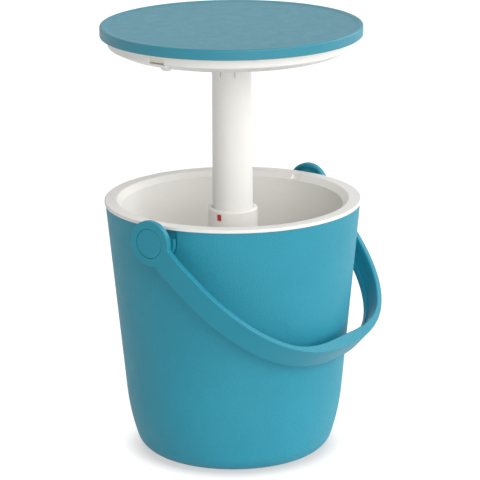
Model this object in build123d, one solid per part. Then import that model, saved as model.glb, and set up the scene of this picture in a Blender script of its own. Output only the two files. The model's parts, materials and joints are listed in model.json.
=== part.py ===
from build123d import *
import math
import os

# A drinks-cooler bucket whose lid is a round table top on a rising pole.
# Millimetres. The origin is the middle of the base on the floor, +Z is up, the handle turns on the X axis
# direction and hangs towards -Y. The table is modelled raised.

# Bucket
BUCKET_HEIGHT = 334.5
RIM_WIDTH = 15.9
RIM_OVERHANG = 1.1
LIP_HEIGHT = 4.2
WALL_LEAN = 5.48
KNEE_HEIGHT = 82.0
SWELL_RADIUS = 284.0
FOOT_ROUND = 29.0
SHELL_WALL = 3.0
WALL_FOAM = 15.5
FLOOR_FOAM = 15.5
LINER_WALL = 3.0
LINER_CORNER = 10.0
SEAT_DEPTH = 7.5
RIM_ROOT = 16.5
RIM_OUTER_ROUND = 1.6
RIM_INNER_ROUND = 2.4
SKIRT_DEPTH = 10.0
SKIRT_WALL = 2.5
FOAM_TOP_GAP = 24.0
FOAM_ROOM = 1.0

# Fits, how far a cut runs past the face it opens, and how deep a joined form is set into its neighbour
LOOSE = 0.3
SCREW_FIT = 0.1
PIN_FIT = 0.05
CUT_PAST = 1.0
WELD = 1.0

# Lugs under the lid, which centre it in the mouth, and the notches in the rim
TWIST = 16.0
LUG_WIDTH = 10.0
LUG_DROP = 3.0
LUG_CLEAR = 0.6
NOTCH_HALF = 6.5
NOTCH_DEPTH = 7.0
NOTCH_RAMP = 4.0
NOTCH_REACH = 0.4
BULGE_WALL = 2.5

# Table top and lid pan
TABLE_RADIUS = 167.5
TABLE_EDGE = 13.4
TABLE_RISE = 213.4
TABLE_PLATE = 4.0
TABLE_SKIRT = 3.2
TABLE_LIP = 4.5
TABLE_DISH = 1.0
TABLE_SLOPE = 6.0
TABLE_TOP_ROUND = 2.0
TABLE_LOW_ROUND = 1.4
RIB_COUNT = 8
RIB_THICK = 2.4
RIB_DEPTH = 4.0
TABLE_OVERHANG = 10.0
SEAT_LAP = 8.0
PAN_SIDE = 12.0
PAN_DEPTH = 21.0
PAN_CONE = 26.5
PAN_ROUND = 30.4
PAN_EDGE_ROUND = 2.5
PAN_WALL = 2.5
PAN_FLANGE = 2.5
LID_SEAT_GAP = 0.4
LID_SCREW_COUNT = 8
LID_SCREW_RADIUS = 1.2
LID_SCREW_GRIP = 4.0
LID_HEAD_RADIUS = 2.5
LID_HEAD = 1.8
LID_BOSS_RADIUS = 3.0
CORE_WINDOW_START = -5.7
CORE_WINDOW_END = 3.0
CORE_WINDOW_RISE = 7.5
CORE_LIP = 1.6
CORE_LIP_HEIGHT = 3.8
CORE_LIP_PAST = 1.0

# Pole, its fixing and its foot
POLE_RADIUS = 26.5
POLE_TOP_RADIUS = 25.2
POLE_WALL = 3.0
SOCKET_WALL = 3.4
SOCKET_STAND = 3.2
SLIT_WIDTH = 1.3
SLIT_SHOWN = 30.5
SLIT_MARK = 2.2
TONGUE_START = 180.0
TONGUE_SPAN = 43.0
HOOK_REACH = 1.7
HOOK_HEIGHT = 4.0
HOOK_SET = 11.0
PLUG_LENGTH = 27.0
PLUG_WALL = 3.0
PLUG_FLANGE = 2.5
PLUG_SCREW_COUNT = 4
PLUG_SCREW_RADIUS = 1.5
PLUG_SCREW_GRIP = 11.0
PLUG_HEAD_RADIUS = 3.0
PLUG_HEAD = 2.0
PLUG_BOSS_RADIUS = 3.6
PLUG_BOSS_LAP = 0.6
FOOT_FLOOR = 3.0
FOOT_GRIP = 21.0
FOOT_CLEAR = 2.8
FOOT_LUG = 8.0
FOOT_LUG_HALF = 8.0
FOOT_LUG_REACH = 1.8
KEY_ANGLE = 80.0
KEY_WIDTH = 4.4
GROOVE_DEPTH = 1.4
GROOVE_MARGIN = 10.0

# Sleeve, collar and lock ring
SLEEVE_RADIUS = 32.0
SLEEVE_BORE = 28.0
SLEEVE_FOOT_RADIUS = 50.0
SLEEVE_FOOT = 3.0
GASKET = 1.0
GASKET_INSET = 1.0
TRACK_DEPTH = 2.1
TRACK_SPARE = 2.0
TRACK_GAP = 0.6
SLEEVE_SCREW_COUNT = 4
SLEEVE_SCREW_RADIUS = 1.8
SLEEVE_HEAD_RADIUS = 4.0
SLEEVE_HEAD = 2.5
SLEEVE_BOSS_RADIUS = 4.6
SLEEVE_BOSS = 7.0
BOSS_END = 1.5
COLLAR_DROP = 12.0
COLLAR_HEIGHT = 23.0
COLLAR_ROUND = 3.0
COLLAR_ROOF = 4.0
SPIGOT = 6.0
SPIGOT_RADIUS = 30.4
RING_RADIUS = 29.6
FLAG_DEPTH = 1.2
FLAG_MARGIN = 1.0
FLAG_HALF = 7.5
WINDOW_HALF = 7.0
WINDOW_HEIGHT = 9.0

# Handle and its pivots
PIVOT_DROP = 20.7
HANDLE_REST_GAP = 0.4
HANDLE_REACH = 232.0
HANDLE_POWER = 2.43
HANDLE_START = 7.5
HANDLE_WIDTH = 31.5
ARM_THICK = 8.0
GRIP_THICK = 15.5
GRIP_HALF = 110.0
BOW_POINTS = 21
OUTER_ROUND = 1.2
INNER_ROUND = 1.6
CHANNEL_WIDTH = 16.0
CHANNEL_DEPTH = 1.6
CHANNEL_START = 40.0
HUB_RADIUS = 29.0
HUB_NECK = 4.0
HUB_LIP = 3.4
HUB_GROOVE = 3.5
HUB_GROOVE_WIDTH = 5.0
HUB_BOSS_RADIUS = 15.5
RECESS_DEPTH = 4.1
RECESS_HALF = 26.5
RECESS_EDGE = 0.7
PAD_GAP = 1.5
PAD_RISE = 5.0
PAD_THICK = 6.0
PAD_ROUND = 0.8
PIN_RADIUS = 8.0
PIN_HEAD_RADIUS = 15.0
PIN_HEAD = 2.2
BUSH_WALL = 3.0
BUSH_FLANGE = 1.5
BUSH_FLANGE_RADIUS = 14.0
BUSH_LENGTH = 8.8
END_FLOAT = 0.5
CAP_RADIUS = 18.5
CAP_THICK = 2.8
CAP_ROOM = 0.7
CAP_SEAM = 0.5
CAP_CHAMFER = 0.3
CAP_SPIGOT = 2.0
CAP_SPIGOT_WALL = 1.2
HEAD_WELL_RADIUS = 13.0
WASHER_RADIUS = 11.0
WASHER_THICK = 1.2
PIVOT_SCREW_RADIUS = 2.5
PIVOT_SCREW_GRIP = 13.0
PIVOT_HEAD_RADIUS = 4.6
PIVOT_HEAD = 2.6
DRIVE_RADIUS = 2.0
DRIVE_DEPTH = 1.5

# Heights and radii that follow from the sizes above: the lid sets the rim, and the rim sets the bucket
LEAN = math.radians(WALL_LEAN)
PAN_RADIUS = TABLE_RADIUS - TABLE_OVERHANG
RIM_OPENING = PAN_RADIUS - SEAT_LAP
RIM_RADIUS = RIM_OPENING + RIM_WIDTH
SHELL_TOP_RADIUS = RIM_RADIUS - RIM_OVERHANG
SHELL_TOP = BUCKET_HEIGHT - LIP_HEIGHT
LINER_OUT = SHELL_WALL + WALL_FOAM
LINER_IN = LINER_OUT + LINER_WALL
LINER_BASE = SHELL_WALL + FLOOR_FOAM
LINER_FLOOR = LINER_BASE + LINER_WALL
KNEE_RADIUS = SHELL_TOP_RADIUS - math.tan(LEAN) * (SHELL_TOP - KNEE_HEIGHT)
SWELL_X = KNEE_RADIUS - SWELL_RADIUS * math.cos(LEAN)
SWELL_Z = KNEE_HEIGHT + SWELL_RADIUS * math.sin(LEAN)

TABLE_UNDER = BUCKET_HEIGHT + TABLE_RISE
TABLE_TOP = TABLE_UNDER + TABLE_EDGE
PLATE_BOTTOM = TABLE_TOP - TABLE_DISH - TABLE_PLATE
SKIRT_INSIDE = TABLE_RADIUS - TABLE_SKIRT
PAN_BOTTOM = TABLE_UNDER - PAN_DEPTH
CONE_SLOPE = math.tan(math.radians(PAN_CONE))
SEAT_HEIGHT = PAN_SIDE + (PAN_RADIUS - RIM_OPENING) * CONE_SLOPE + LID_SEAT_GAP
CLOSED_UNDER = BUCKET_HEIGHT + SEAT_HEIGHT
LIFT_TRAVEL = TABLE_UNDER - CLOSED_UNDER
SOCKET_TOP = TABLE_UNDER + SOCKET_STAND
LID_SCREW_RING = (PAN_RADIUS + SKIRT_INSIDE) / 2

MOUTH_RAISED = BUCKET_HEIGHT + LIFT_TRAVEL
NOTCH_FLOOR = BUCKET_HEIGHT - NOTCH_DEPTH
NOTCH_RADIUS = RIM_OPENING + NOTCH_REACH

FOOT_BOTTOM = LINER_FLOOR + FOOT_CLEAR + LIFT_TRAVEL
POLE_BOTTOM = FOOT_BOTTOM + FOOT_FLOOR
FOOT_RADIUS = SLEEVE_BORE - LOOSE
FOOT_LUG_LOW = POLE_BOTTOM + FOOT_FLOOR
SLEEVE_BASE = LINER_FLOOR + GASKET
SLEEVE_SCREW_RING = (SLEEVE_RADIUS + SLEEVE_FOOT_RADIUS) / 2
COLLAR_TOP = BUCKET_HEIGHT - COLLAR_DROP
SLEEVE_TOP = COLLAR_TOP - COLLAR_HEIGHT
RING_LOW = SLEEVE_TOP + SPIGOT + LOOSE
RING_HIGH = COLLAR_TOP - COLLAR_ROOF - LOOSE
RING_BORE = POLE_RADIUS + 2 * LOOSE
WINDOW_TOP = RING_HIGH - LOOSE
PLUG_SCREW_RING = POLE_TOP_RADIUS + LOOSE + SOCKET_WALL + PLUG_BOSS_RADIUS - PLUG_BOSS_LAP

PIVOT_HEIGHT = BUCKET_HEIGHT - PIVOT_DROP
RECESS_FLOOR = SHELL_TOP_RADIUS - math.tan(LEAN) * (SHELL_TOP - PIVOT_HEIGHT) - RECESS_DEPTH
PAD_FACE = RECESS_FLOOR + PAD_THICK
BOSS_FACE = PAD_FACE + END_FLOAT + BUSH_FLANGE
WELL_FLOOR = BOSS_FACE + BUSH_LENGTH
PIN_END = WELL_FLOOR + LOOSE
CAP_SEAT = PIN_END + WASHER_THICK + PIVOT_HEAD + CAP_ROOM
HANDLE_HALF = CAP_SEAT + CAP_THICK
HUB_INSIDE = HANDLE_HALF - ARM_THICK
BUSH_RADIUS = PIN_RADIUS + PIN_FIT + BUSH_WALL

LEFT = -1
RIGHT = 1
LOWEST = 0
HIGHEST = -1
FROM_BOTTOM = (Align.CENTER, Align.CENTER, Align.MIN)

# The bow hangs until the rounded lower edge of its grip meets the bucket wall.
GRIP_EDGE = HANDLE_REACH - GRIP_THICK + INNER_ROUND
GRIP_LOW = HANDLE_WIDTH / 2 - INNER_ROUND
WALL_AT_PIVOT = (RECESS_FLOOR + RECESS_DEPTH) * math.cos(LEAN)
BOW_TILT = (
    LEAN
    - math.atan2(GRIP_LOW, GRIP_EDGE)
    + math.acos((WALL_AT_PIVOT + INNER_ROUND + HANDLE_REST_GAP) / math.hypot(GRIP_EDGE, GRIP_LOW))
)
BOW_DROP = HANDLE_REACH - HANDLE_START
BOW_PLANE = Plane(
    origin=(0, 0, PIVOT_HEIGHT),
    x_dir=(1, 0, 0),
    z_dir=(0, -math.sin(BOW_TILT), math.cos(BOW_TILT)),
)
SIDE_PLANE = Plane(
    origin=(0, 0, PIVOT_HEIGHT),
    x_dir=(0, -math.cos(BOW_TILT), -math.sin(BOW_TILT)),
    z_dir=(1, 0, 0),
)


def turned(face):
    """Turn a radius-height outline about the bucket's axis."""
    return revolve(Plane.XZ * face, Axis.Z)


def disc(radius, low, high):
    return Pos(0, 0, low) * Cylinder(radius, high - low, align=FROM_BOTTOM)


def ring(inner, outer, low, high):
    return disc(outer, low, high) - disc(inner, low - CUT_PAST, high + CUT_PAST)


def swept(outline, start, end):
    """A radius-height outline turned between two angles in degrees, measured from +X towards +Y."""
    return Rot(0, 0, start) * revolve(Plane.XZ * outline, Axis.Z, end - start)


def sector(inner, outer, low, high, start, end):
    """A piece of a ring between two angles."""
    section = Pos((inner + outer) / 2, (low + high) / 2) * Rectangle(outer - inner, high - low)
    return swept(section, start, end)


def pegs(count, ring_radius, radius, low, high, turn=0.0):
    """Equal upright cylinders on a circle."""
    peg = Pos(ring_radius, 0, 0) * disc(radius, low, high)
    return [Rot(0, 0, turn + 360 / count * k) * peg for k in range(count)]


def sleeve_pegs(radius, low, high):
    """Upright cylinders on the sleeve's screw circle."""
    return pegs(SLEEVE_SCREW_COUNT, SLEEVE_SCREW_RING, radius, low, high)


def plug_pegs(radius, low, high):
    """Upright cylinders on the pole plug's screw circle, between the lid's ribs."""
    return pegs(PLUG_SCREW_COUNT, PLUG_SCREW_RING, radius, low, high, turn=180 / PLUG_SCREW_COUNT)


def lid_pegs(radius, low, high):
    """Upright cylinders on the lid pan's screw circle."""
    return pegs(LID_SCREW_COUNT, LID_SCREW_RING, radius, low, high)


def round_headed(shanks, heads, end, edge):
    """Screws of a shank and a head each, with the head's free edge, the lowest or the highest, rounded."""
    tops = [fillet(head.edges().group_by(Axis.Z)[end], edge) for head in heads]
    return Compound([shank + top for shank, top in zip(shanks, tops)])


def pivot_rod(side, radius, start, end):
    """A cylinder on the handle's axis, from one distance to another on the given side."""
    rod = Rot(0, 90, 0) * Cylinder(radius, end - start, align=FROM_BOTTOM)
    rod = Pos(start, 0, PIVOT_HEIGHT) * rod
    return rod if side == RIGHT else mirror(rod, about=Plane.YZ)


def wall_radius(height, inset):
    """Radius of the leaning bucket wall, so far inside its outer skin."""
    return SHELL_TOP_RADIUS - math.tan(LEAN) * (SHELL_TOP - height) - inset / math.cos(LEAN)


def vessel(inset, floor, corner, top):
    """The bucket's form as a full body, taken in by inset, with its own floor and corner rounding."""
    swell = SWELL_RADIUS - inset
    bend = math.asin((floor + corner - SWELL_Z) / (swell - corner))
    corner_x = SWELL_X + (swell - corner) * math.cos(bend)
    bend_degrees = math.degrees(bend)
    knee_x = SWELL_X + swell * math.cos(LEAN)
    knee_z = SWELL_Z - swell * math.sin(LEAN)
    top_x = wall_radius(top, inset)
    outline = [
        Line((0, floor), (corner_x, floor)),
        CenterArc((corner_x, floor + corner), corner, -90, 90 + bend_degrees),
        CenterArc((SWELL_X, SWELL_Z), swell, bend_degrees, -WALL_LEAN - bend_degrees),
        Line((knee_x, knee_z), (top_x, top)),
        Line((top_x, top), (0, top)),
        Line((0, top), (0, floor)),
    ]
    return turned(make_face(outline))


def rounded(face, corners):
    """Round the outline's corners at the given points."""
    for point, radius in corners:
        corner = face.vertices().sort_by_distance(point)[0]
        face = fillet(corner, radius)
    return face


def recess_form(half, start, end=HANDLE_HALF, top=BUCKET_HEIGHT):
    """A U-shaped prism round the handle's axis on the right side, between two distances from the middle."""
    side = Circle(half) + Pos(0, half) * Rectangle(2 * half, 2 * half)
    side &= Pos(0, top - PIVOT_HEIGHT) * Rectangle(2 * half, 4 * half, align=(Align.CENTER, Align.MAX))
    return Pos(start, 0, PIVOT_HEIGHT) * extrude(Plane.YZ * side, end - start)


def both_sides(piece):
    return [piece, mirror(piece, about=Plane.YZ)]


def recess_edges(body):
    """The edges where the two recesses break through the bucket's outer skin."""
    chosen = []
    for edge in body.edges():
        middle = edge @ 0.5
        from_skin = math.hypot(middle.X, middle.Y) - wall_radius(middle.Z, 0)
        from_outline = math.hypot(middle.Y, min(0, middle.Z - PIVOT_HEIGHT)) - RECESS_HALF
        if max(abs(from_skin), abs(from_outline)) < SCREW_FIT:
            chosen.append(edge)
    return chosen


def make_outer_shell():
    shell = vessel(0, 0, FOOT_ROUND, SHELL_TOP)
    hollow = vessel(SHELL_WALL, SHELL_WALL, FOOT_ROUND - SHELL_WALL, SHELL_TOP + CUT_PAST)
    for piece in both_sides(recess_form(RECESS_HALF, RECESS_FLOOR)):
        shell -= piece
    for piece in both_sides(recess_form(RECESS_HALF + SHELL_WALL, RECESS_FLOOR - SHELL_WALL)):
        hollow -= piece
    shell = fillet(recess_edges(shell), RECESS_EDGE) - hollow
    pad = recess_form(RECESS_HALF - PAD_GAP, RECESS_FLOOR - WELD, PAD_FACE, PIVOT_HEIGHT + PAD_RISE)
    pad = fillet(pad.faces().sort_by(Axis.X)[-1].edges(), PAD_ROUND)
    for side, piece in zip((RIGHT, LEFT), both_sides(pad)):
        shell += piece
        shell -= pivot_rod(side, PIN_RADIUS + SCREW_FIT, RECESS_FLOOR - 2 * SHELL_WALL, PAD_FACE + CUT_PAST)
    return shell


def make_liner():
    seat_low = BUCKET_HEIGHT - SEAT_DEPTH
    seat_radius = RIM_OPENING - SEAT_DEPTH
    root = BUCKET_HEIGHT - RIM_ROOT
    slant = LINER_WALL * math.sqrt(0.5)
    skirt = SHELL_WALL + LOOSE
    skirt_low = SHELL_TOP - SKIRT_DEPTH
    outline = Polyline(
        (RIM_RADIUS, SHELL_TOP),
        (RIM_RADIUS, BUCKET_HEIGHT),
        (RIM_OPENING, BUCKET_HEIGHT),
        (seat_radius, seat_low),
        (wall_radius(root, LINER_IN), root),
        (wall_radius(root, LINER_OUT), root),
        (seat_radius + slant, seat_low - slant),
        (seat_radius + 2 * slant - seat_low + SHELL_TOP, SHELL_TOP),
        (wall_radius(SHELL_TOP, skirt + SKIRT_WALL), SHELL_TOP),
        (wall_radius(skirt_low, skirt + SKIRT_WALL), skirt_low),
        (wall_radius(skirt_low, skirt), skirt_low),
        (wall_radius(SHELL_TOP, skirt), SHELL_TOP),
        close=True,
    )
    corners = [
        ((RIM_RADIUS, BUCKET_HEIGHT), RIM_OUTER_ROUND),
        ((RIM_OPENING, BUCKET_HEIGHT), RIM_INNER_ROUND),
    ]
    liner = turned(rounded(make_face(outline), corners))
    liner += vessel(LINER_OUT, LINER_BASE, LINER_CORNER + LINER_WALL, root)
    liner -= vessel(LINER_IN, LINER_FLOOR, LINER_CORNER, root)

    notch = Polyline(
        (NOTCH_HALF, NOTCH_FLOOR),
        (NOTCH_HALF, BUCKET_HEIGHT + CUT_PAST),
        (-NOTCH_HALF - NOTCH_RAMP, BUCKET_HEIGHT + CUT_PAST),
        (-NOTCH_HALF, NOTCH_FLOOR),
        close=True,
    )
    notch = extrude(Plane.YZ * make_face(notch), NOTCH_RADIUS)
    mouth = Polyline(
        (0, seat_low),
        (seat_radius, seat_low),
        (RIM_OPENING, BUCKET_HEIGHT),
        (0, BUCKET_HEIGHT),
        close=True,
    )
    mouth = turned(make_face(mouth))
    bulge_half = math.degrees((NOTCH_HALF + NOTCH_RAMP + BULGE_WALL) / seat_radius)
    bulge_out = NOTCH_RADIUS + BULGE_WALL
    bulge_low = NOTCH_FLOOR - BULGE_WALL
    for turn in (0, 180):
        bulge = sector(seat_radius, bulge_out, bulge_low, SHELL_TOP, turn - bulge_half, turn + bulge_half)
        liner += bulge - mouth
        liner -= Rot(0, 0, turn) * notch

    backing = recess_form(RECESS_HALF + SHELL_WALL + LOOSE, RECESS_FLOOR - SHELL_WALL - LOOSE)
    for piece in both_sides(backing):
        liner -= piece - disc(2 * RIM_RADIUS, SHELL_TOP, TABLE_TOP)
    boss_low = LINER_BASE - SLEEVE_BOSS
    for boss in sleeve_pegs(SLEEVE_BOSS_RADIUS, boss_low, LINER_BASE):
        liner += boss
    for hole in sleeve_pegs(SLEEVE_SCREW_RADIUS + SCREW_FIT, boss_low + BOSS_END, LINER_FLOOR + CUT_PAST):
        liner -= hole
    return liner


def make_wall_insulation():
    top = SHELL_TOP - FOAM_TOP_GAP
    outside = vessel(SHELL_WALL + LOOSE, SHELL_WALL, FOOT_ROUND - SHELL_WALL, top)
    foam = outside - vessel(LINER_OUT - LOOSE, LINER_BASE, LINER_CORNER + LINER_WALL, top + CUT_PAST)
    room = recess_form(RECESS_HALF + SHELL_WALL + LOOSE, RECESS_FLOOR - SHELL_WALL - PIN_HEAD - FOAM_ROOM)
    for piece in both_sides(room):
        foam -= piece
    for well in sleeve_pegs(SLEEVE_BOSS_RADIUS + LOOSE, LINER_BASE - SLEEVE_BOSS - LOOSE, LINER_FLOOR):
        foam -= well
    return foam


def make_sleeve():
    sleeve = disc(SLEEVE_RADIUS, SLEEVE_BASE, SLEEVE_TOP)
    sleeve += disc(SPIGOT_RADIUS, SLEEVE_TOP, SLEEVE_TOP + SPIGOT)
    sleeve += disc(SLEEVE_FOOT_RADIUS, SLEEVE_BASE, SLEEVE_BASE + SLEEVE_FOOT)
    sleeve -= disc(SLEEVE_BORE, SLEEVE_BASE - CUT_PAST, COLLAR_TOP)
    track = SLEEVE_BORE + TRACK_DEPTH
    half = FOOT_LUG_HALF + TRACK_SPARE
    raised_low = FOOT_LUG_LOW - TRACK_GAP
    raised_high = FOOT_LUG_LOW + FOOT_LUG + TRACK_GAP
    closed_low = raised_low - LIFT_TRAVEL
    closed_high = raised_high - LIFT_TRAVEL
    for turn in (90, 270):
        start = turn - half
        end = turn + half
        sleeve -= sector(POLE_RADIUS, track, closed_low, raised_high, start, end)
        sleeve -= sector(POLE_RADIUS, track, closed_low, closed_high, start - TWIST, end)
        sleeve -= sector(POLE_RADIUS, track, raised_low, raised_high, start - TWIST, end)
    foot_top = SLEEVE_BASE + SLEEVE_FOOT
    for hole in sleeve_pegs(SLEEVE_SCREW_RADIUS + LOOSE, SLEEVE_BASE - CUT_PAST, foot_top + CUT_PAST):
        sleeve -= hole
    return sleeve


def make_sleeve_gasket():
    gasket = ring(SLEEVE_BORE, SLEEVE_FOOT_RADIUS - GASKET_INSET, LINER_FLOOR, SLEEVE_BASE)
    for hole in sleeve_pegs(SLEEVE_SCREW_RADIUS + LOOSE, LINER_FLOOR - CUT_PAST, SLEEVE_BASE + CUT_PAST):
        gasket -= hole
    return gasket


def make_sleeve_screws():
    seat = SLEEVE_BASE + SLEEVE_FOOT
    boss_hole = seat - LINER_BASE + SLEEVE_BOSS - BOSS_END
    shanks = sleeve_pegs(SLEEVE_SCREW_RADIUS, seat - boss_hole + BOSS_END, seat + SLEEVE_HEAD / 2)
    heads = sleeve_pegs(SLEEVE_HEAD_RADIUS, seat, seat + SLEEVE_HEAD)
    return round_headed(shanks, heads, HIGHEST, SLEEVE_HEAD / 2)


def make_collar():
    collar = disc(SLEEVE_RADIUS, SLEEVE_TOP, COLLAR_TOP)
    collar = fillet(collar.edges().group_by(Axis.Z)[-1], COLLAR_ROUND)
    collar -= disc(SPIGOT_RADIUS + SCREW_FIT, SLEEVE_TOP - CUT_PAST, SLEEVE_TOP + SPIGOT)
    collar -= disc(RING_RADIUS + LOOSE, SLEEVE_TOP, COLLAR_TOP - COLLAR_ROOF)
    collar -= disc(POLE_RADIUS + LOOSE, SLEEVE_TOP, COLLAR_TOP + CUT_PAST)
    for turn in (0, 180):
        collar -= sector(
            RING_RADIUS,
            SLEEVE_RADIUS + CUT_PAST,
            WINDOW_TOP - WINDOW_HEIGHT,
            WINDOW_TOP,
            turn - WINDOW_HALF,
            turn + WINDOW_HALF,
        )
    return collar


def flag_sector(turn):
    low = WINDOW_TOP - WINDOW_HEIGHT - FLAG_MARGIN
    return sector(RING_RADIUS - FLAG_DEPTH, RING_RADIUS, low, RING_HIGH, turn - FLAG_HALF, turn + FLAG_HALF)


def key_bar(width, reach_in, reach_out, low, high):
    bar = Box(reach_out - reach_in, width, high - low, align=(Align.MIN, Align.CENTER, Align.MIN))
    return Rot(0, 0, KEY_ANGLE) * Pos(reach_in, 0, low) * bar


def make_lock_ring():
    lock_ring = ring(RING_BORE, RING_RADIUS, RING_LOW, RING_HIGH)
    key_tip = POLE_TOP_RADIUS - GROOVE_DEPTH + LOOSE
    lock_ring += key_bar(KEY_WIDTH, key_tip, RING_BORE + WELD, RING_LOW, RING_HIGH)
    for turn in (0, 180):
        lock_ring -= flag_sector(turn)
    return lock_ring


def make_lock_flags():
    return Compound([flag_sector(turn) for turn in (0, 180)])


def make_tabletop():
    lip = TABLE_RADIUS - TABLE_LIP
    outline = Polyline(
        (0, PLATE_BOTTOM),
        (SKIRT_INSIDE, PLATE_BOTTOM),
        (SKIRT_INSIDE, TABLE_UNDER),
        (TABLE_RADIUS, TABLE_UNDER),
        (TABLE_RADIUS, TABLE_TOP),
        (lip, TABLE_TOP),
        (lip - TABLE_SLOPE, TABLE_TOP - TABLE_DISH),
        (0, TABLE_TOP - TABLE_DISH),
        close=True,
    )
    corners = [
        ((TABLE_RADIUS, TABLE_TOP), TABLE_TOP_ROUND),
        ((TABLE_RADIUS, TABLE_UNDER), TABLE_LOW_ROUND),
    ]
    top = turned(rounded(make_face(outline), corners))
    boss_low = TABLE_UNDER + PAN_FLANGE
    for boss in lid_pegs(LID_BOSS_RADIUS, boss_low, PLATE_BOTTOM + WELD):
        top += boss
    rib_start = PLUG_SCREW_RING + 3 * PLUG_BOSS_RADIUS
    rib_length = SKIRT_INSIDE + WELD - rib_start
    rib = Box(rib_length, RIB_THICK, RIB_DEPTH, align=(Align.MIN, Align.CENTER, Align.MAX))
    for k in range(RIB_COUNT):
        top += Rot(0, 0, 360 / RIB_COUNT * (k + 0.5)) * Pos(rib_start, 0, PLATE_BOTTOM) * rib
    for hole in lid_pegs(LID_SCREW_RADIUS + SCREW_FIT, TABLE_UNDER, boss_low + LID_SCREW_GRIP + LOOSE):
        top -= hole
    return top


def pan_form(inset, top):
    """The lid pan's outside as a full body, taken in by inset."""
    cone = math.radians(PAN_CONE)
    line_x = PAN_RADIUS - inset * math.sin(cone)
    line_z = TABLE_UNDER - PAN_SIDE + inset * math.cos(cone)
    side_x = PAN_RADIUS - inset
    side_z = line_z + (side_x - line_x) * CONE_SLOPE
    low_z = PAN_BOTTOM + inset
    low_x = line_x + (low_z - line_z) / CONE_SLOPE
    outline = Polyline((0, low_z), (low_x, low_z), (side_x, side_z), (side_x, top), (0, top), close=True)
    corners = [((low_x, low_z), PAN_ROUND - inset), ((side_x, side_z), PAN_EDGE_ROUND)]
    return turned(rounded(make_face(outline), corners))


def lug_outline():
    """A wedge below the pan's cone, whose outer side follows the mouth's slope at a clear distance."""
    clear = LUG_CLEAR * math.sqrt(2)
    apart = 1 - CONE_SLOPE
    root = (clear - LID_SEAT_GAP) / apart
    tip = (clear - LID_SEAT_GAP + LUG_DROP) / apart
    root_z = MOUTH_RAISED + clear - root
    tip_z = MOUTH_RAISED + clear - tip
    inside = (LID_SEAT_GAP + tip - clear) / CONE_SLOPE
    outline = Polyline(
        (RIM_OPENING - inside, tip_z),
        (RIM_OPENING - tip, tip_z),
        (RIM_OPENING - root, root_z),
        (RIM_OPENING - root, root_z + WELD),
        (RIM_OPENING - inside, root_z + WELD),
        close=True,
    )
    return make_face(outline)


def make_lid_pan():
    rim = TABLE_UNDER + PAN_FLANGE
    outside = pan_form(0, rim)
    pan = outside - pan_form(PAN_WALL, rim + CUT_PAST)
    pan += ring(PAN_RADIUS - PAN_WALL, SKIRT_INSIDE - LOOSE, TABLE_UNDER, rim)
    socket = POLE_TOP_RADIUS + LOOSE
    pan += disc(socket + SOCKET_WALL, PAN_BOTTOM, SOCKET_TOP)
    for boss in plug_pegs(PLUG_BOSS_RADIUS, PAN_BOTTOM, SOCKET_TOP):
        pan += boss

    hollow = pan_form(PAN_WALL / 2, rim)
    lug = lug_outline()
    lug_half = math.degrees(math.asin(LUG_WIDTH / 2 / RIM_OPENING))
    lip_low = MOUTH_RAISED + LOOSE
    window_low = lip_low + CORE_LIP_HEIGHT
    window_high = TABLE_UNDER - PAN_SIDE + CORE_WINDOW_RISE
    for turn in (0, 180):
        pan += swept(lug, turn - lug_half, turn + lug_half) - hollow
        start = turn + CORE_WINDOW_START
        end = turn + CORE_WINDOW_END
        pan -= sector(RIM_OPENING, PAN_RADIUS + CUT_PAST, window_low, window_high, start, end)
        lip_start = start - CORE_LIP_PAST
        lip = sector(RIM_OPENING, PAN_RADIUS, lip_low, window_low, lip_start, end + CORE_LIP_PAST)
        pan += (lip & pan_form(-CORE_LIP, rim)) - hollow

    pan -= disc(socket, PAN_BOTTOM - CUT_PAST, SOCKET_TOP + CUT_PAST)
    hook_low = SOCKET_TOP - HOOK_SET - HOOK_HEIGHT - LOOSE
    hook_high = SOCKET_TOP - HOOK_SET + LOOSE
    hook_out = POLE_TOP_RADIUS + HOOK_REACH + LOOSE
    for start in (TONGUE_START, TONGUE_START + 180):
        pan -= sector(POLE_TOP_RADIUS, hook_out, hook_low, hook_high, start, start + TONGUE_SPAN)
    screw_end = SOCKET_TOP - PLUG_SCREW_GRIP - LOOSE
    for hole in plug_pegs(PLUG_SCREW_RADIUS + SCREW_FIT, screw_end, SOCKET_TOP + CUT_PAST):
        pan -= hole
    for hole in lid_pegs(LID_SCREW_RADIUS + LOOSE, TABLE_UNDER - CUT_PAST, rim + CUT_PAST):
        pan -= hole
    return pan


def make_lid_insulation():
    room = PLUG_SCREW_RING + PLUG_BOSS_RADIUS + 2 * LOOSE
    return pan_form(PAN_WALL + LOOSE, TABLE_UNDER + PAN_FLANGE - LOOSE) - disc(room, PAN_BOTTOM, TABLE_TOP)


def make_lid_screws():
    shank_top = TABLE_UNDER + PAN_FLANGE + LID_SCREW_GRIP
    shanks = lid_pegs(LID_SCREW_RADIUS, TABLE_UNDER - LID_HEAD / 2, shank_top)
    heads = lid_pegs(LID_HEAD_RADIUS, TABLE_UNDER - LID_HEAD, TABLE_UNDER)
    return round_headed(shanks, heads, LOWEST, LID_HEAD / 2)


def slit_form(inside, low):
    """A narrow cutter from a radius outwards, and from a level up past the pole's top."""
    height = SOCKET_TOP + CUT_PAST - low
    form = Box(POLE_RADIUS, SLIT_WIDTH, height, align=(Align.MIN, Align.CENTER, Align.MIN))
    return Pos(inside, 0, low) * form


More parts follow.
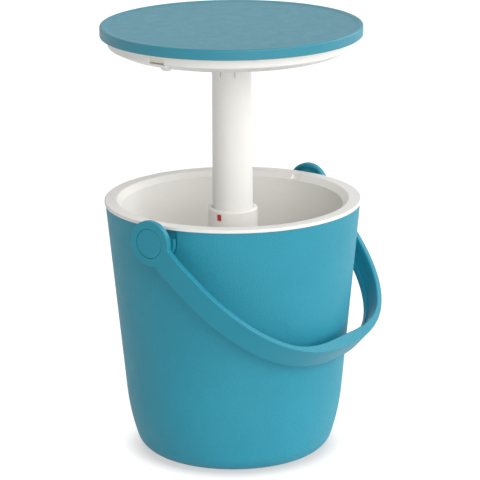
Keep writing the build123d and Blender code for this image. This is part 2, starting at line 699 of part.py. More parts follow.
def make_pole():
    outline = Polyline(
        (0, POLE_BOTTOM),
        (POLE_RADIUS, POLE_BOTTOM),
        (POLE_TOP_RADIUS, SOCKET_TOP),
        (0, SOCKET_TOP),
        close=True,
    )
    pole = turned(make_face(outline))
    hook_low = SOCKET_TOP - HOOK_SET - HOOK_HEIGHT
    slit = slit_form(POLE_RADIUS / 2, PAN_BOTTOM)
    mark = slit_form(POLE_TOP_RADIUS - SLIT_MARK, PAN_BOTTOM - SLIT_SHOWN)
    for start in (TONGUE_START, TONGUE_START + 180):
        pole += sector(
            POLE_TOP_RADIUS - WELD,
            POLE_TOP_RADIUS + HOOK_REACH,
            hook_low,
            hook_low + HOOK_HEIGHT,
            start + TONGUE_SPAN / 4,
            start + TONGUE_SPAN * 3 / 4,
        )
    pole -= disc(POLE_TOP_RADIUS - POLE_WALL, POLE_BOTTOM - CUT_PAST, SOCKET_TOP + CUT_PAST)
    for start in (TONGUE_START, TONGUE_START + 180):
        for angle in (start, start + TONGUE_SPAN):
            pole -= Rot(0, 0, angle) * slit
            pole -= Rot(0, 0, angle) * mark
    groove_low = POLE_BOTTOM + FOOT_GRIP + GROOVE_MARGIN
    groove_high = PAN_BOTTOM - GROOVE_MARGIN
    floor = POLE_TOP_RADIUS - GROOVE_DEPTH
    pole -= key_bar(KEY_WIDTH + 2 * LOOSE, floor, POLE_RADIUS + CUT_PAST, groove_low, groove_high)
    return pole


def make_pole_plug():
    inside = POLE_TOP_RADIUS - POLE_WALL - LOOSE
    flange = PLUG_SCREW_RING + PLUG_BOSS_RADIUS
    plug = disc(inside, SOCKET_TOP - PLUG_LENGTH, SOCKET_TOP + PLUG_FLANGE / 2)
    plug += disc(flange, SOCKET_TOP, SOCKET_TOP + PLUG_FLANGE)
    plug -= disc(inside - PLUG_WALL, SOCKET_TOP - PLUG_LENGTH - CUT_PAST, SOCKET_TOP)
    flange_top = SOCKET_TOP + PLUG_FLANGE
    for hole in plug_pegs(PLUG_SCREW_RADIUS + LOOSE, SOCKET_TOP - CUT_PAST, flange_top + CUT_PAST):
        plug -= hole
    return plug


def make_pole_plug_screws():
    seat = SOCKET_TOP + PLUG_FLANGE
    shanks = plug_pegs(PLUG_SCREW_RADIUS, SOCKET_TOP - PLUG_SCREW_GRIP, seat + PLUG_HEAD / 2)
    heads = plug_pegs(PLUG_HEAD_RADIUS, seat, seat + PLUG_HEAD)
    return round_headed(shanks, heads, HIGHEST, PLUG_HEAD / 2)


def make_pole_foot():
    foot = disc(FOOT_RADIUS, FOOT_BOTTOM, POLE_BOTTOM + FOOT_GRIP)
    for turn in (90, 270):
        foot += sector(
            FOOT_RADIUS - WELD,
            FOOT_RADIUS + FOOT_LUG_REACH,
            FOOT_LUG_LOW,
            FOOT_LUG_LOW + FOOT_LUG,
            turn - FOOT_LUG_HALF,
            turn + FOOT_LUG_HALF,
        )
    foot -= disc(POLE_RADIUS + SCREW_FIT, POLE_BOTTOM, POLE_BOTTOM + FOOT_GRIP + CUT_PAST)
    return foot


def bow_point(angle, sunk):
    """A point of the bow's outline, a superellipse, or of its inside when sunk by the bow's thickness."""
    c = math.cos(angle)
    across = math.copysign(abs(c) ** (2 / HANDLE_POWER), c)
    along = max(math.sin(angle), 0) ** (2 / HANDLE_POWER)
    normal_x = math.copysign(abs(across) ** (HANDLE_POWER - 1), c) / HANDLE_HALF
    normal_y = along ** (HANDLE_POWER - 1) / BOW_DROP
    length = math.hypot(normal_x, normal_y)
    x = HANDLE_HALF * across - sunk * normal_x / length
    y = HANDLE_START + BOW_DROP * along - sunk * normal_y / length
    return (x, -y)


def bow_thickness(angle):
    """Thin in the arms, swelling to the grip in the middle."""
    across = HANDLE_HALF * abs(math.cos(angle)) ** (2 / HANDLE_POWER)
    swell = max(0, 1 - (across / GRIP_HALF) ** 2) ** 2
    return ARM_THICK + (GRIP_THICK - ARM_THICK) * swell


def bow_outline(sunk):
    """The bow's curve below the pivots with straight ends up past the hubs, as one closed outline."""
    angles = [math.pi * k / (BOW_POINTS - 1) for k in range(BOW_POINTS)]
    points = [bow_point(angle, sunk(angle)) for angle in angles]
    top = 2 * HUB_RADIUS
    curve = Spline(*points, tangents=[(0, -1), (0, 1)])
    sides = Polyline(points[-1], (points[-1][0], top), (points[0][0], top), points[0])
    return make_face([curve, *sides.edges()])


def bow_edges(body, lowest, highest):
    """Long edges of the bow whose middle lies so deep below its outer face, in thicknesses of the arm."""
    chosen = []
    for edge in body.edges():
        middle = BOW_PLANE.to_local_coords(edge @ 0.5)
        across = abs(middle.X) / HANDLE_HALF
        along = max(0, -middle.Y - HANDLE_START) / BOW_DROP
        share = (across**HANDLE_POWER + along**HANDLE_POWER) ** (1 / HANDLE_POWER)
        depth = (1 - share) * HANDLE_HALF / ARM_THICK
        is_seam = abs(middle.Z) < HANDLE_WIDTH / 4 and along < 0.01 and middle.Y < 0
        if lowest < depth < highest and not is_seam:
            chosen.append(edge)
    return chosen


def make_handle():
    outer = bow_outline(lambda angle: 0)
    inner = bow_outline(bow_thickness)
    channel = bow_outline(lambda angle: bow_thickness(angle) - CHANNEL_DEPTH)
    bow = extrude(BOW_PLANE * (outer - inner), 2 * HUB_RADIUS, both=True)

    strap = Pos(HANDLE_REACH / 2, 0) * Rectangle(HANDLE_REACH + HANDLE_WIDTH, HANDLE_WIDTH)
    side = Circle(HUB_RADIUS) + strap
    neck = math.sqrt(HUB_RADIUS**2 - (HANDLE_WIDTH / 2) ** 2)
    side = rounded(side, [((neck, HANDLE_WIDTH / 2), HUB_NECK), ((neck, -HANDLE_WIDTH / 2), HUB_NECK)])
    handle = bow & extrude(SIDE_PLANE * side, 2 * HANDLE_HALF, both=True)
    handle = fillet(bow_edges(handle, -0.2, 0.2), OUTER_ROUND)
    handle = fillet(bow_edges(handle, 0.7, 3 * GRIP_THICK / ARM_THICK), INNER_ROUND)

    groove = extrude(BOW_PLANE * channel, CHANNEL_WIDTH / 2, both=True)
    kept = Box(3 * HANDLE_HALF, 2 * HANDLE_REACH, 4 * HUB_RADIUS)
    handle -= groove - BOW_PLANE * Pos(0, HANDLE_REACH - CHANNEL_START, 0) * kept
    past_hub = HANDLE_HALF + CUT_PAST
    groove_out = HUB_RADIUS - HUB_LIP
    groove_floor = HUB_INSIDE + HUB_GROOVE
    for end in (LEFT, RIGHT):
        trough = pivot_rod(end, groove_out, HUB_INSIDE - CUT_PAST, groove_floor)
        handle -= trough - pivot_rod(end, groove_out - HUB_GROOVE_WIDTH, 0, past_hub)
        handle += pivot_rod(end, HUB_BOSS_RADIUS, BOSS_FACE, HUB_INSIDE + WELD)
        handle -= pivot_rod(end, CAP_RADIUS + CAP_SEAM, CAP_SEAT, past_hub)
        handle -= pivot_rod(end, HEAD_WELL_RADIUS, WELL_FLOOR, past_hub)
        handle -= pivot_rod(end, BUSH_RADIUS, BOSS_FACE - CUT_PAST, past_hub)
    return handle


def make_pivot_pin(side):
    inner_face = RECESS_FLOOR - SHELL_WALL
    pin = pivot_rod(side, PIN_RADIUS, inner_face - PIN_HEAD, PIN_END)
    pin += pivot_rod(side, PIN_HEAD_RADIUS, inner_face - PIN_HEAD, inner_face)
    hole_end = PIN_END - PIVOT_SCREW_GRIP - LOOSE
    pin -= pivot_rod(side, PIVOT_SCREW_RADIUS + SCREW_FIT, hole_end, PIN_END + CUT_PAST)
    return pin


def make_bush(side):
    bush = pivot_rod(side, BUSH_RADIUS, BOSS_FACE - BUSH_FLANGE, WELL_FLOOR)
    bush += pivot_rod(side, BUSH_FLANGE_RADIUS, BOSS_FACE - BUSH_FLANGE, BOSS_FACE)
    bush -= pivot_rod(side, PIN_RADIUS + PIN_FIT, PAD_FACE, WELL_FLOOR + CUT_PAST)
    return bush


def make_pivot_washer(side):
    washer = pivot_rod(side, WASHER_RADIUS, PIN_END, PIN_END + WASHER_THICK)
    return washer - pivot_rod(side, PIVOT_SCREW_RADIUS + LOOSE, PIN_END - CUT_PAST, HANDLE_HALF)


def make_pivot_screw(side):
    seat = PIN_END + WASHER_THICK
    screw = pivot_rod(side, PIVOT_SCREW_RADIUS, PIN_END - PIVOT_SCREW_GRIP, seat + PIVOT_HEAD / 2)
    screw += pivot_rod(side, PIVOT_HEAD_RADIUS, seat, seat + PIVOT_HEAD)
    drive_floor = seat + PIVOT_HEAD - DRIVE_DEPTH
    return screw - pivot_rod(side, DRIVE_RADIUS, drive_floor, seat + PIVOT_HEAD + CUT_PAST)


def make_pivot_cap(side):
    cap = pivot_rod(side, CAP_RADIUS, CAP_SEAT, HANDLE_HALF)
    outer_edge = cap.edges().filter_by(GeomType.CIRCLE).sort_by(Axis.X)
    cap = chamfer(outer_edge[-1 if side == RIGHT else 0], CAP_CHAMFER)
    spigot = HEAD_WELL_RADIUS - SCREW_FIT
    wall = pivot_rod(side, spigot, CAP_SEAT - CAP_SPIGOT, CAP_SEAT + WELD)
    wall -= pivot_rod(side, spigot - CAP_SPIGOT_WALL, PIN_END, CAP_SEAT)
    return cap + wall


nodes = {
    "outer_shell": make_outer_shell(),
    "liner": make_liner(),
    "wall_insulation": make_wall_insulation(),
    "sleeve": make_sleeve(),
    "sleeve_gasket": make_sleeve_gasket(),
    "sleeve_screws": make_sleeve_screws(),
    "collar": make_collar(),
    "lock_ring": make_lock_ring(),
    "lock_flags": make_lock_flags(),
    "tabletop": make_tabletop(),
    "lid_pan": make_lid_pan(),
    "lid_insulation": make_lid_insulation(),
    "lid_screws": make_lid_screws(),
    "pole": make_pole(),
    "pole_plug": make_pole_plug(),
    "pole_plug_screws": make_pole_plug_screws(),
    "pole_foot": make_pole_foot(),
    "handle": make_handle(),
}
for name, side in (("left", LEFT), ("right", RIGHT)):
    nodes[name + "_pivot_pin"] = make_pivot_pin(side)
    nodes[name + "_pivot_washer"] = make_pivot_washer(side)
    nodes[name + "_pivot_screw"] = make_pivot_screw(side)
    nodes[name + "_bush"] = make_bush(side)
    nodes[name + "_pivot_cap"] = make_pivot_cap(side)

os.makedirs("parts", exist_ok=True)
for name, shape in nodes.items():
    export_step(shape, f"parts/{name}.step")
print(f"{len(nodes)} nodes, table lift travel {LIFT_TRAVEL:.2f} mm, pivot height {PIVOT_HEIGHT:.2f} mm")
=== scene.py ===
# %% [markdown]
# # A cooler bucket with a rising table top
#
# The real object is a moulded cooler bucket: a teal outer shell, a white liner, a white pole in the middle
# and a round lid on that pole which serves as a small table when it is pulled up. The solids come ready
# made as a frame, each in its place. This lesson dresses them: it gives every piece its plastic, cuts the
# drives into the screws that can be seen, and sets up a plain studio round the bucket.

# %% Load the frame
import json
import math

import bmesh
import bpy
from mathutils import Matrix, Vector


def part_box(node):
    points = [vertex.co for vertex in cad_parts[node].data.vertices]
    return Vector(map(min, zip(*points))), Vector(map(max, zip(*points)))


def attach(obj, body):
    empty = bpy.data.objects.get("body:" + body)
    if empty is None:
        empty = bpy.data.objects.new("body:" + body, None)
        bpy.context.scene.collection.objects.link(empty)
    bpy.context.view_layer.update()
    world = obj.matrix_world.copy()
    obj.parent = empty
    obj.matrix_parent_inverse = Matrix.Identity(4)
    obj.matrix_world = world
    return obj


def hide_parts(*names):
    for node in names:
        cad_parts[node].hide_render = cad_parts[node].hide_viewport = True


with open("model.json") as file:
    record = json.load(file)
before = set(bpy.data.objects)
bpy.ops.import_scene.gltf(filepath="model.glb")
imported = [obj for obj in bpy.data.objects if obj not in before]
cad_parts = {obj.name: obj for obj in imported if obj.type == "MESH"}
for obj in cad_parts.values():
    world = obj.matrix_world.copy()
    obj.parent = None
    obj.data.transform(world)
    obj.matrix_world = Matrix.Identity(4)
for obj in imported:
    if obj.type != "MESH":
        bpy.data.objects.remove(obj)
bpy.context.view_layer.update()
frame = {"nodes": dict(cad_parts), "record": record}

nodes = frame["nodes"]
print("nodes in the frame:", len(nodes))

# %% [markdown]
# ## The camera
#
# The camera stands well back with a long lens, a little above the table top, and looks down on the bucket.
# A long lens keeps the ellipses of the rim and of the table almost alike, as a product picture does. It is
# placed by its turn about the upright axis, its distance and its pitch, which is easier to think in than
# three rotation angles. Lengths are in metres, and only the lens and its sensor are in millimetres.

# %% Camera
CAMERA_TURN = math.radians(-55.1)
CAMERA_PITCH = math.radians(15.315)
CAMERA_ROLL = math.radians(-0.5)
CAMERA_REACH = 3.5696
CAMERA_HEIGHT = 1.2544
LENS = 214.4
SENSOR = 36.0
SIDE_SHIFT = 0.0143
FAR_END = 100.0


def add_camera():
    data = bpy.data.cameras.new("studio_camera")
    data.lens = LENS
    data.sensor_width = SENSOR
    data.sensor_fit = "HORIZONTAL"
    data.shift_x = SIDE_SHIFT
    data.clip_end = FAR_END
    camera = bpy.data.objects.new("studio_camera", data)
    place = Matrix.Translation((
        CAMERA_REACH * math.sin(CAMERA_TURN),
        -CAMERA_REACH * math.cos(CAMERA_TURN),
        CAMERA_HEIGHT,
    ))
    turn = Matrix.Rotation(CAMERA_TURN, 4, "Z")
    pitch = Matrix.Rotation(math.pi / 2 - CAMERA_PITCH, 4, "X")
    roll = Matrix.Rotation(CAMERA_ROLL, 4, "Z")
    camera.matrix_world = place @ turn @ pitch @ roll
    bpy.context.scene.collection.objects.link(camera)
    bpy.context.scene.camera = camera
    return camera


camera = add_camera()
bpy.context.scene.view_settings.view_transform = "Standard"
print("camera at", [round(value, 3) for value in camera.location])

# %% [markdown]
# ## Patterns that break up a surface
#
# No real surface has one colour and one gloss all over: the pigment lies in faint clouds, and the mould
# leaves a grain that breaks up the reflections. A photograph of such a surface could be wrapped round the
# pieces, but a noise on object coordinates has no seams and keeps one grain size everywhere. The pebbles of
# a leather-like mould grain come from a cell pattern instead. They fade on upright faces, where such a
# grain would catch in the mould.

# %% Noise and pebbles
NOISE_LOW = 0.3
NOISE_HIGH = 0.7
PEBBLE_SMOOTHNESS = 0.6
PEBBLE_REACH = 0.8


def spread(tree, value, low, high, start=NOISE_LOW, end=NOISE_HIGH):
    """A value that runs from start to end, as most of a noise does, mapped to run from low to high."""
    node = tree.nodes.new("ShaderNodeMapRange")
    node.inputs["From Min"].default_value = start
    node.inputs["From Max"].default_value = end
    node.inputs["To Min"].default_value = low
    node.inputs["To Max"].default_value = high
    tree.links.new(value, node.inputs["Value"])
    return node.outputs["Result"]


def noise(tree, size, detail):
    """A noise on object coordinates with features of the given size in metres."""
    place = tree.nodes.new("ShaderNodeTexCoord")
    node = tree.nodes.new("ShaderNodeTexNoise")
    node.inputs["Scale"].default_value = 1.0 / size
    node.inputs["Detail"].default_value = detail
    tree.links.new(place.outputs["Object"], node.inputs["Vector"])
    return node.outputs["Fac"]


def pebbles(tree, size):
    """Rounded pebbles side by side, as in a leather-like mould grain, on the faces that look up or down."""
    place = tree.nodes.new("ShaderNodeTexCoord")
    node = tree.nodes.new("ShaderNodeTexVoronoi")
    node.feature = "SMOOTH_F1"
    node.inputs["Scale"].default_value = 1.0 / size
    node.inputs["Smoothness"].default_value = PEBBLE_SMOOTHNESS
    tree.links.new(place.outputs["Object"], node.inputs["Vector"])
    split = tree.nodes.new("ShaderNodeSeparateXYZ")
    tree.links.new(place.outputs["Normal"], split.inputs["Vector"])
    flat = tree.nodes.new("ShaderNodeMath")
    flat.operation = "ABSOLUTE"
    tree.links.new(split.outputs["Z"], flat.inputs[0])
    height = tree.nodes.new("ShaderNodeMath")
    height.operation = "MULTIPLY"
    raised = spread(tree, node.outputs["Distance"], 1.0, 0.0, 0.0, PEBBLE_REACH)
    tree.links.new(raised, height.inputs[0])
    tree.links.new(flat.outputs["Value"], height.inputs[1])
    return height.outputs["Value"]


print("patterns: noise, and pebbles smoothed by", PEBBLE_SMOOTHNESS)

# %% [markdown]
# ## A finish that is not quite even
#
# Every plastic, rubber and metal here is the same recipe with other numbers, so one function makes them
# all. A slow noise shifts between two shades, a faster one changes the roughness a little, and the finest
# one drives the bump. Gloss level and metal are the same all over, so they are set straight on the shader.

# %% A function for finishes
CLOUD_SIZE = 0.07
CLOUD_DETAIL = 4.0
GLOSS_PATCH = 0.016
GLOSS_DETAIL = 2.0
GLOSS_SPREAD = 0.03
GRAIN_DETAIL = 3.0


def shader_of(name):
    material = bpy.data.materials.new(name)
    material.use_nodes = True
    return material, material.node_tree, material.node_tree.nodes["Principled BSDF"]


def finish(name, colour, shade, roughness, gloss, grain, depth, metal=0.0, pebbled=False):
    """Two shades, the roughness, the gloss level, and the grain's size and depth in metres."""
    material, tree, shader = shader_of(name)
    mix = tree.nodes.new("ShaderNodeMix")
    mix.data_type = "RGBA"
    mix.inputs["A"].default_value = (*colour, 1.0)
    mix.inputs["B"].default_value = (*shade, 1.0)
    clouds = spread(tree, noise(tree, CLOUD_SIZE, CLOUD_DETAIL), 0.0, 1.0)
    tree.links.new(clouds, mix.inputs["Factor"])
    tree.links.new(mix.outputs["Result"], shader.inputs["Base Color"])
    patches = noise(tree, GLOSS_PATCH, GLOSS_DETAIL)
    patchy = spread(tree, patches, roughness - GLOSS_SPREAD, roughness + GLOSS_SPREAD)
    tree.links.new(patchy, shader.inputs["Roughness"])
    if pebbled:
        height = pebbles(tree, grain)
    else:
        height = spread(tree, noise(tree, grain, GRAIN_DETAIL), 0.0, 1.0)
    bump = tree.nodes.new("ShaderNodeBump")
    bump.inputs["Distance"].default_value = depth
    tree.links.new(height, bump.inputs["Height"])
    tree.links.new(bump.outputs["Normal"], shader.inputs["Normal"])
    shader.inputs["Specular IOR Level"].default_value = gloss
    shader.inputs["Metallic"].default_value = metal
    return material


print("finishes have clouds of", CLOUD_SIZE, "m and gloss patches of", GLOSS_PATCH, "m")

# %% [markdown]
# ## The plastics
#
# Shell, handle and table top are one teal polypropylene, but each mould has its own skin. The shell has a
# fine spark-eroded grain. The handle and its caps are nearly smooth, so that their edges catch a thin line
# of light, and their teal is set a little darker. The table top has a coarser pebble grain, on which nothing
# slides easily and scratches don't show, and its teal is darker still, as a painted shade for the face that
# looks up. Liner, pan and pole are a smooth white of a slightly warm tone. The bushes are left in the
# plastic's natural colour, and the foam between the walls is a pale yellow. One teal could serve everywhere,
# but the grain, and the painted shade on the table top, tell the pieces apart.

# %% Teal, white and the hidden plastics
teal = finish(
    "teal moulded plastic",
    colour=(0.0180, 0.300, 0.412),
    shade=(0.0170, 0.282, 0.388),
    roughness=0.56,
    gloss=0.47,
    grain=0.0016,
    depth=0.00030,
)
teal_smooth = finish(
    "teal smooth plastic",
    colour=(0.0175, 0.276, 0.380),
    shade=(0.0165, 0.260, 0.358),
    roughness=0.46,
    gloss=0.36,
    grain=0.0016,
    depth=0.00006,
)
# The table top's teal is darker than the shell's: a painted shade for the face that looks up, not another
# pigment.
teal_top_painted_shade = finish(
    "teal pebbled plastic with painted shade",
    colour=(0.0180, 0.248, 0.338),
    shade=(0.0170, 0.232, 0.318),
    roughness=0.46,
    gloss=0.62,
    grain=0.0021,
    depth=0.00034,
    pebbled=True,
)
white = finish(
    "white satin plastic",
    colour=(0.900, 0.884, 0.848),
    shade=(0.888, 0.871, 0.834),
    roughness=0.40,
    gloss=0.45,
    grain=0.0012,
    depth=0.00001,
)
natural = finish(
    "natural bush plastic",
    colour=(0.80, 0.78, 0.71),
    shade=(0.78, 0.76, 0.69),
    roughness=0.35,
    gloss=0.50,
    grain=0.0012,
    depth=0.00001,
)
foam = finish(
    "insulation foam",
    colour=(0.88, 0.85, 0.74),
    shade=(0.84, 0.80, 0.67),
    roughness=0.85,
    gloss=0.20,
    grain=0.0022,
    depth=0.00060,
    pebbled=True,
)
plastics = (teal, teal_smooth, teal_top_painted_shade, white, natural, foam)
print("plastics:", [plastic.name for plastic in plastics])

# %% [markdown]
# ## Red flag, seal and screws
#
# The lock flag is a small glossy red insert, the seal under the sleeve is black rubber with a dull bloom,
# and the screws are zinc plated steel, whose plating is never even. Colour alone could tell them apart, but
# rubber looks soft and plating hard only by their gloss, so each gets its own roughness.

# %% Red, rubber and zinc
red = finish(
    "red gloss plastic",
    colour=(0.60, 0.030, 0.022),
    shade=(0.56, 0.026, 0.020),
    roughness=0.22,
    gloss=0.50,
    grain=0.0010,
    depth=0.00001,
)
rubber = finish(
    "black rubber",
    colour=(0.030, 0.030, 0.032),
    shade=(0.045, 0.045, 0.047),
    roughness=0.75,
    gloss=0.30,
    grain=0.0008,
    depth=0.00004,
)
zinc = finish(
    "zinc plated steel",
    colour=(0.66, 0.67, 0.69),
    shade=(0.58, 0.58, 0.57),
    roughness=0.32,
    gloss=0.50,
    grain=0.0006,
    depth=0.00001,
    metal=1.0,
)
print("small pieces:", [small.name for small in (red, rubber, zinc)])

# %% [markdown]
# ## A finish for every piece
#
# The frame's record names a material slot for every node. Each node could be given its finish by name, but a
# table from slots to finishes leaves none out. The table top, the handle and the handle's caps are then
# dressed once more, in their own teal skins; the table top's skin carries a painted shade.

# %% Dress the nodes
finishes = {
    "teal_plastic": teal,
    "white_plastic": white,
    "red_plastic": red,
    "foam": foam,
    "rubber": rubber,
    "steel": zinc,
    "bush_plastic": natural,
}


def dress(piece, material):
    piece.data.materials.clear()
    piece.data.materials.append(material)


for subpart in frame["record"]["subparts"]:
    dress(nodes[subpart["node"]], finishes[subpart["material_slot"]])
# The table top gets the teal that carries the painted shade.
dress(nodes["tabletop"], teal_top_painted_shade)
for name in ("handle", "left_pivot_cap", "right_pivot_cap"):
    dress(nodes[name], teal_smooth)

# %% [markdown]
# ## A screw with a cross drive
#
# Two sets of screws come into view: small ones under the edge of the table, seen from below, and larger
# ones round the sleeve's foot on the bucket's floor. The solids have plain round heads. A cutter could be
# driven into each head, but that leaves messy faces. Here a head starts as a flat grid whose middle lines
# stand close together: the five cells of the cross are pushed down, the outer edge is drawn onto a circle,
# and that edge is then extruded ring by ring into the dome, the seat, the shank and the tip.

# %% One cross-drive screw
GRID_CELLS = 5
CROWN_SHARE = 0.74
CROSS_REACH = 0.55
CROSS_HALF = 0.13
CROSS_TAPER = 0.72
CROSS_DEPTH = 0.55
DOME_RINGS = ((0.92, 0.80), (1.0, 0.45), (1.0, 0.0))
TIP_SHARE = 0.6


def draw_ring(shape, edges, radius, height):
    """Extrude open edges onto a circle at the given height, and return the new open edges."""
    made = bmesh.ops.extrude_edge_only(shape, edges=edges)["geom"]
    for vert in (item for item in made if isinstance(item, bmesh.types.BMVert)):
        flat = Vector((vert.co.x, vert.co.y)).normalized() * radius
        vert.co = (flat.x, flat.y, height)
    return [item for item in made if isinstance(item, bmesh.types.BMEdge) and item.is_boundary]


def screw_shape(head_radius, head_height, shank_radius, length):
    """One upright screw whose head sits on the level of nought and whose shank goes down."""
    shape = bmesh.new()
    bmesh.ops.create_grid(shape, x_segments=GRID_CELLS, y_segments=GRID_CELLS, size=1.0)
    crown = CROWN_SHARE * head_radius
    lines = (CROSS_HALF, CROSS_REACH, 1.0)
    for vert in shape.verts:
        steps = [int(abs(value) * GRID_CELLS / 2) for value in vert.co[:2]]
        spot = Vector([math.copysign(lines[step], value) for step, value in zip(steps, vert.co)])
        if max(steps) == len(lines) - 1:
            spot = Vector(vert.co[:2]).normalized()
        vert.co = (spot.x * crown, spot.y * crown, head_height)
    rim = [edge for edge in shape.edges if edge.is_boundary]
    cells = []
    for face in shape.faces:
        across, along = sorted(abs(value) / crown for value in face.calc_center_median()[:2])
        if across < CROSS_HALF and along < CROSS_REACH:
            cells.append(face)
    made = bmesh.ops.extrude_face_region(shape, geom=cells)["geom"]
    floor = [item for item in made if isinstance(item, bmesh.types.BMVert)]
    bmesh.ops.scale(shape, vec=(CROSS_TAPER, CROSS_TAPER, 1.0), verts=floor)
    bmesh.ops.translate(shape, vec=(0.0, 0.0, -CROSS_DEPTH * head_height), verts=floor)
    bmesh.ops.delete(shape, geom=cells, context="FACES")
    for share, height in DOME_RINGS:
        rim = draw_ring(shape, rim, share * head_radius, height * head_height)
    rim = draw_ring(shape, rim, shank_radius, 0.0)
    rim = draw_ring(shape, rim, shank_radius, shank_radius - length)
    rim = draw_ring(shape, rim, TIP_SHARE * shank_radius, -length)
    bmesh.ops.contextual_create(shape, geom=rim)
    bmesh.ops.recalc_face_normals(shape, faces=shape.faces)
    return shape


print("a cross reaches over", CROSS_REACH, "of the crown and goes", CROSS_DEPTH, "of the head down")

# %% [markdown]
# ## Screws in a circle
#
# The table's screws and the sleeve's screws stand in even circles round the pole. Linked copies of one
# object would do, but one mesh for the whole circle can take the place of one node. So a single screw is
# moved out to the circle and spun round the upright axis in copies. Its seat and its length come from the
# box of the node that it replaces, so the screws stay in their holes when the solids change.

# %% Screws for the table and the sleeve
def add_screws(node, body, count, head_radius, head_height, shank_radius, head_up):
    """A circle of screws in the place of a node, all with their heads up or all with their heads down."""
    low, high = (Vector(corner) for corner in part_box(node))
    length = high.z - low.z - head_height
    shape = screw_shape(head_radius, head_height, shank_radius, length)
    seat = high.z - head_height if head_up else low.z + head_height
    turn = Matrix.Identity(4) if head_up else Matrix.Rotation(math.pi, 4, "X")
    place = Matrix.Translation((high.x - head_radius, 0.0, seat))
    bmesh.ops.transform(shape, matrix=place @ turn, verts=shape.verts)
    bmesh.ops.spin(
        shape,
        geom=shape.verts[:] + shape.edges[:] + shape.faces[:],
        cent=(0.0, 0.0, 0.0),
        axis=(0.0, 0.0, 1.0),
        angle=2 * math.pi * (count - 1) / count,
        steps=count - 1,
        use_duplicate=True,
    )
    open_edges = sum(1 for edge in shape.edges if len(edge.link_faces) != 2)
    mesh = bpy.data.meshes.new(node + "_cross_drive")
    shape.to_mesh(mesh)
    shape.free()
    piece = bpy.data.objects.new(node + "_cross_drive", mesh)
    bpy.context.scene.collection.objects.link(piece)
    dress(piece, zinc)
    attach(piece, body)
    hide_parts(node)
    print(piece.name, "faces:", len(mesh.polygons), "open edges:", open_edges)


add_screws(
    "lid_screws",
    "table",
    count=8,
    head_radius=0.0025,
    head_height=0.0018,
    shank_radius=0.0012,
    head_up=False,
)
add_screws(
    "sleeve_screws",
    "base",
    count=4,
    head_radius=0.0040,
    head_height=0.0025,
    shank_radius=0.0018,
    head_up=True,
)

# %% [markdown]
# ## The floor
#
# The bucket stands on a wide white floor that has no visible end. More light could make the floor white,
# but it would bleach the bucket too. Instead the floor adds a little light of its own where the camera or a
# reflection meets it. Close to the foot, where the bucket shuts out the light, that glow fades, which paints
# a tight soft shadow onto the floor; the floor's faint shading from the lamps adds a weak real shadow to it.

# %% Floor
PURE_WHITE = (1.0, 1.0, 1.0, 1.0)
FLOOR_HALF = 30.0
FLOOR_COLOUR = 0.90
FLOOR_SEEN = 0.25
FLOOR_ROUGHNESS = 0.9
FLOOR_GLOW = 0.94
PAINTED_SHADOW_GLOW = 0.55
CONTACT_REACH = 0.045
CONTACT_SHUT = 0.35
CONTACT_OPEN = 0.75


def seen_directly(tree):
    """One for camera, mirror and glass rays, and nought for the light that falls on things."""
    path = tree.nodes.new("ShaderNodeLightPath")
    total = path.outputs["Is Camera Ray"]
    for name in ("Is Glossy Ray", "Is Transmission Ray"):
        larger = tree.nodes.new("ShaderNodeMath")
        larger.operation = "MAXIMUM"
        tree.links.new(total, larger.inputs[0])
        tree.links.new(path.outputs[name], larger.inputs[1])
        total = larger.outputs["Value"]
    return total


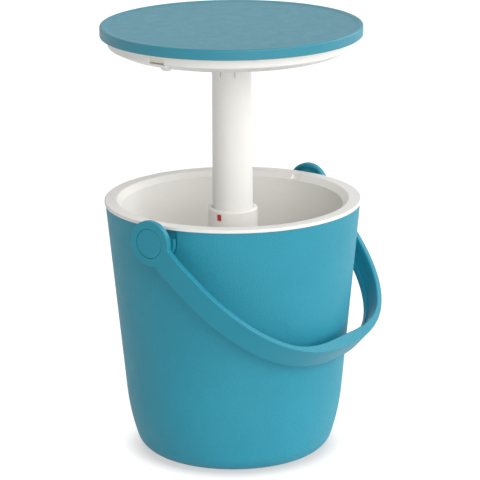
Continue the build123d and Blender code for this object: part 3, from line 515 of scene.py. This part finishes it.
def add_floor():
    mesh = bpy.data.meshes.new("studio_floor")
    shape = bmesh.new()
    bmesh.ops.create_grid(shape, x_segments=1, y_segments=1, size=FLOOR_HALF)
    shape.to_mesh(mesh)
    shape.free()
    floor = bpy.data.objects.new("studio_floor", mesh)
    bpy.context.scene.collection.objects.link(floor)
    material, tree, shader = shader_of("white studio floor")
    seen = seen_directly(tree)
    colour = spread(tree, seen, FLOOR_COLOUR, FLOOR_SEEN, 0.0, 1.0)
    tree.links.new(colour, shader.inputs["Base Color"])
    shader.inputs["Roughness"].default_value = FLOOR_ROUGHNESS
    shader.inputs["Specular IOR Level"].default_value = 0.0
    shader.inputs["Emission Color"].default_value = PURE_WHITE
    # An occlusion measure dims the glow close to the foot: this is a painted contact shadow.
    painted_shadow_occlusion = tree.nodes.new("ShaderNodeAmbientOcclusion")
    painted_shadow_occlusion.inputs["Distance"].default_value = CONTACT_REACH
    openness = painted_shadow_occlusion.outputs["AO"]
    glow = spread(tree, openness, PAINTED_SHADOW_GLOW, FLOOR_GLOW, CONTACT_SHUT, CONTACT_OPEN)
    shown = tree.nodes.new("ShaderNodeMath")
    shown.operation = "MULTIPLY"
    tree.links.new(glow, shown.inputs[0])
    tree.links.new(seen, shown.inputs[1])
    tree.links.new(shown.outputs["Value"], shader.inputs["Emission Strength"])
    mesh.materials.append(material)
    return floor


floor = add_floor()
print(floor.name, "glows", FLOOR_GLOW, "in the open and", PAINTED_SHADOW_GLOW, "close to the foot")

# %% [markdown]
# ## Lamps and world
#
# One broad lamp shines from the right of the camera, a weaker one from further round, and a small one from
# above, which draws thin lines of light along the edges. Lamps close to the bucket would fade from its top
# to its foot. A distant lamp lights both alike, and one angle sets how soft it is. A pale world does the
# rest.

# %% Lamps and world
WORLD_LIGHT = 0.25


def add_sun(name, turn, height, strength, softness):
    """A broad distant lamp, turned from the camera's side and raised above the floor, in degrees."""
    data = bpy.data.lights.new(name, "SUN")
    data.energy = strength
    data.angle = math.radians(softness)
    lamp = bpy.data.objects.new(name, data)
    tilt = Matrix.Rotation(math.pi / 2 - math.radians(height), 4, "X")
    lamp.matrix_world = Matrix.Rotation(CAMERA_TURN + math.radians(turn), 4, "Z") @ tilt
    bpy.context.scene.collection.objects.link(lamp)
    return lamp


key = add_sun("key_lamp", turn=28.0, height=17.0, strength=2.5, softness=70.0)
side = add_sun("side_lamp", turn=110.0, height=15.0, strength=1.5, softness=50.0)
top = add_sun("top_lamp", turn=25.0, height=60.0, strength=0.35, softness=8.0)
world = bpy.data.worlds.new("studio_world")
world.use_nodes = True
bpy.context.scene.world = world
tree = world.node_tree
backdrop = tree.nodes["Background"]
backdrop.inputs["Color"].default_value = PURE_WHITE
strength = spread(tree, seen_directly(tree), WORLD_LIGHT, 1.0, 0.0, 1.0)
tree.links.new(strength, backdrop.inputs["Strength"])
print("light:", key.name, side.name, top.name, world.name)
